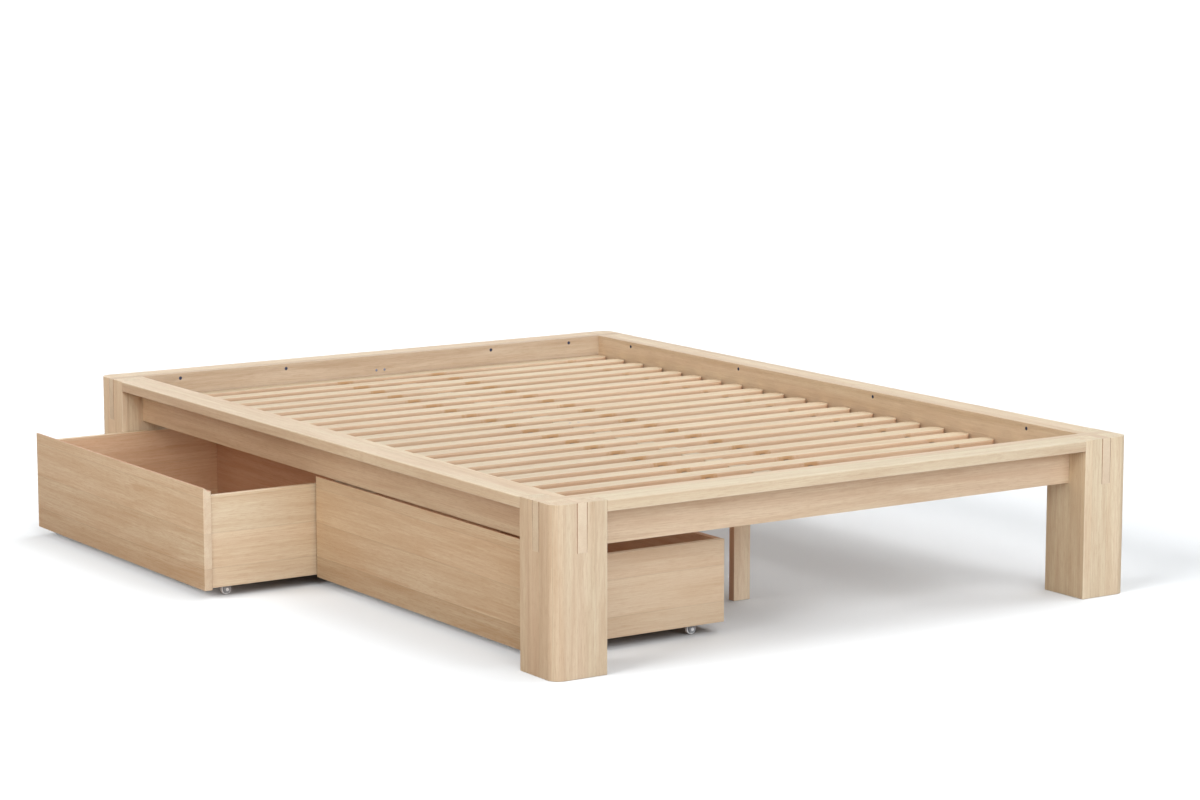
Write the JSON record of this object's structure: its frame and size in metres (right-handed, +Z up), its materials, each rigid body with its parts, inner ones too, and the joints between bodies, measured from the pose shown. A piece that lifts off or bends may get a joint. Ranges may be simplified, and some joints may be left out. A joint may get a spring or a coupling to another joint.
{
  "type": "platform bed with drawers",
  "caption": "Low solid-wood platform bed with square legs, through-jointed rails, a slatted base and castor drawers under one side.",
  "frame": {"origin": "on the floor, in the middle of the footprint of the bed and its pulled-out far drawer", "axes": "+X from the drawer side to the right side, +Y from the foot to the head, +Z up"},
  "size_m": [1.816, 2.17, 0.37],
  "materials": {
    "beech": "oiled, matt",
    "slat_wood": "planed, matt",
    "band_cloth": "woven band",
    "steel": "zinc plated",
    "castor_plastic": "moulded",
    "wheel_plastic": "moulded, pale"
  },
  "bodies": {
    "bed_frame": {"leg_foot_left": "beech", "leg_foot_right": "beech", "leg_head_left": "beech", "leg_head_right": "beech", "board_left": "beech", "board_right": "beech", "board_foot": "beech", "board_head": "beech", "strip_left": "beech", "strip_right": "beech", "strip_foot": "beech", "strip_head": "beech", "ledgers": "beech", "beam": "beech", "middle_legs": "beech", "bands": "band_cloth", "bolts": "steel", "screws": "steel", "slat_01": "slat_wood", "slat_02": "slat_wood", "slat_03": "slat_wood", "slat_04": "slat_wood", "slat_05": "slat_wood", "slat_06": "slat_wood", "slat_07": "slat_wood", "slat_08": "slat_wood", "slat_09": "slat_wood", "slat_10": "slat_wood", "slat_11": "slat_wood", "slat_12": "slat_wood", "slat_13": "slat_wood", "slat_14": "slat_wood", "slat_15": "slat_wood", "slat_16": "slat_wood", "slat_17": "slat_wood", "slat_18": "slat_wood", "slat_19": "slat_wood", "slat_20": "slat_wood", "slat_21": "slat_wood", "slat_22": "slat_wood"},
    "near_drawer": {"near_front": "beech", "near_side_foot": "beech", "near_side_head": "beech", "near_back": "beech", "near_bottom": "beech", "near_housings": "castor_plastic"},
    "near_wheel_1": {"near_wheel_1": "wheel_plastic"},
    "near_wheel_2": {"near_wheel_2": "wheel_plastic"},
    "near_wheel_3": {"near_wheel_3": "wheel_plastic"},
    "near_wheel_4": {"near_wheel_4": "wheel_plastic"},
    "far_drawer": {"far_front": "beech", "far_side_foot": "beech", "far_side_head": "beech", "far_back": "beech", "far_bottom": "beech", "far_housings": "castor_plastic"},
    "far_wheel_1": {"far_wheel_1": "wheel_plastic"},
    "far_wheel_2": {"far_wheel_2": "wheel_plastic"},
    "far_wheel_3": {"far_wheel_3": "wheel_plastic"},
    "far_wheel_4": {"far_wheel_4": "wheel_plastic"}
  },
  "joints": [
    {"name": "near_drawer_slide", "type": "slide", "parent": "bed_frame", "child": "near_drawer", "axis": [-1, 0, 0], "range_m": [0, 0.45]},
    {"name": "near_wheel_1_spin", "type": "hinge", "parent": "near_drawer", "child": "near_wheel_1", "pos_m": [-0.548, -0.874, 0.0125], "axis": [0, 1, 0], "continuous": true},
    {"name": "near_wheel_2_spin", "type": "hinge", "parent": "near_drawer", "child": "near_wheel_2", "pos_m": [-0.548, -0.016, 0.0125], "axis": [0, 1, 0], "continuous": true},
    {"name": "near_wheel_3_spin", "type": "hinge", "parent": "near_drawer", "child": "near_wheel_3", "pos_m": [-0.178, -0.874, 0.0125], "axis": [0, 1, 0], "continuous": true},
    {"name": "near_wheel_4_spin", "type": "hinge", "parent": "near_drawer", "child": "near_wheel_4", "pos_m": [-0.178, -0.016, 0.0125], "axis": [0, 1, 0], "continuous": true},
    {"name": "far_drawer_slide", "type": "slide", "parent": "bed_frame", "child": "far_drawer", "axis": [-1, 0, 0], "range_m": [-0.29, 0.16]},
    {"name": "far_wheel_1_spin", "type": "hinge", "parent": "far_drawer", "child": "far_wheel_1", "pos_m": [-0.838, 0.056, 0.0125], "axis": [0, 1, 0], "continuous": true},
    {"name": "far_wheel_2_spin", "type": "hinge", "parent": "far_drawer", "child": "far_wheel_2", "pos_m": [-0.838, 0.914, 0.0125], "axis": [0, 1, 0], "continuous": true},
    {"name": "far_wheel_3_spin", "type": "hinge", "parent": "far_drawer", "child": "far_wheel_3", "pos_m": [-0.468, 0.056, 0.0125], "axis": [0, 1, 0], "continuous": true},
    {"name": "far_wheel_4_spin", "type": "hinge", "parent": "far_drawer", "child": "far_wheel_4", "pos_m": [-0.468, 0.914, 0.0125], "axis": [0, 1, 0], "continuous": true}
  ],
  "couplings": [
    {"joint": "near_wheel_1_spin", "follows": "near_drawer_slide", "rad_per_m": -80},
    {"joint": "near_wheel_2_spin", "follows": "near_drawer_slide", "rad_per_m": -80},
    {"joint": "near_wheel_3_spin", "follows": "near_drawer_slide", "rad_per_m": -80},
    {"joint": "near_wheel_4_spin", "follows": "near_drawer_slide", "rad_per_m": -80},
    {"joint": "far_wheel_1_spin", "follows": "far_drawer_slide", "rad_per_m": -80},
    {"joint": "far_wheel_2_spin", "follows": "far_drawer_slide", "rad_per_m": -80},
    {"joint": "far_wheel_3_spin", "follows": "far_drawer_slide", "rad_per_m": -80},
    {"joint": "far_wheel_4_spin", "follows": "far_drawer_slide", "rad_per_m": -80}
  ]
}
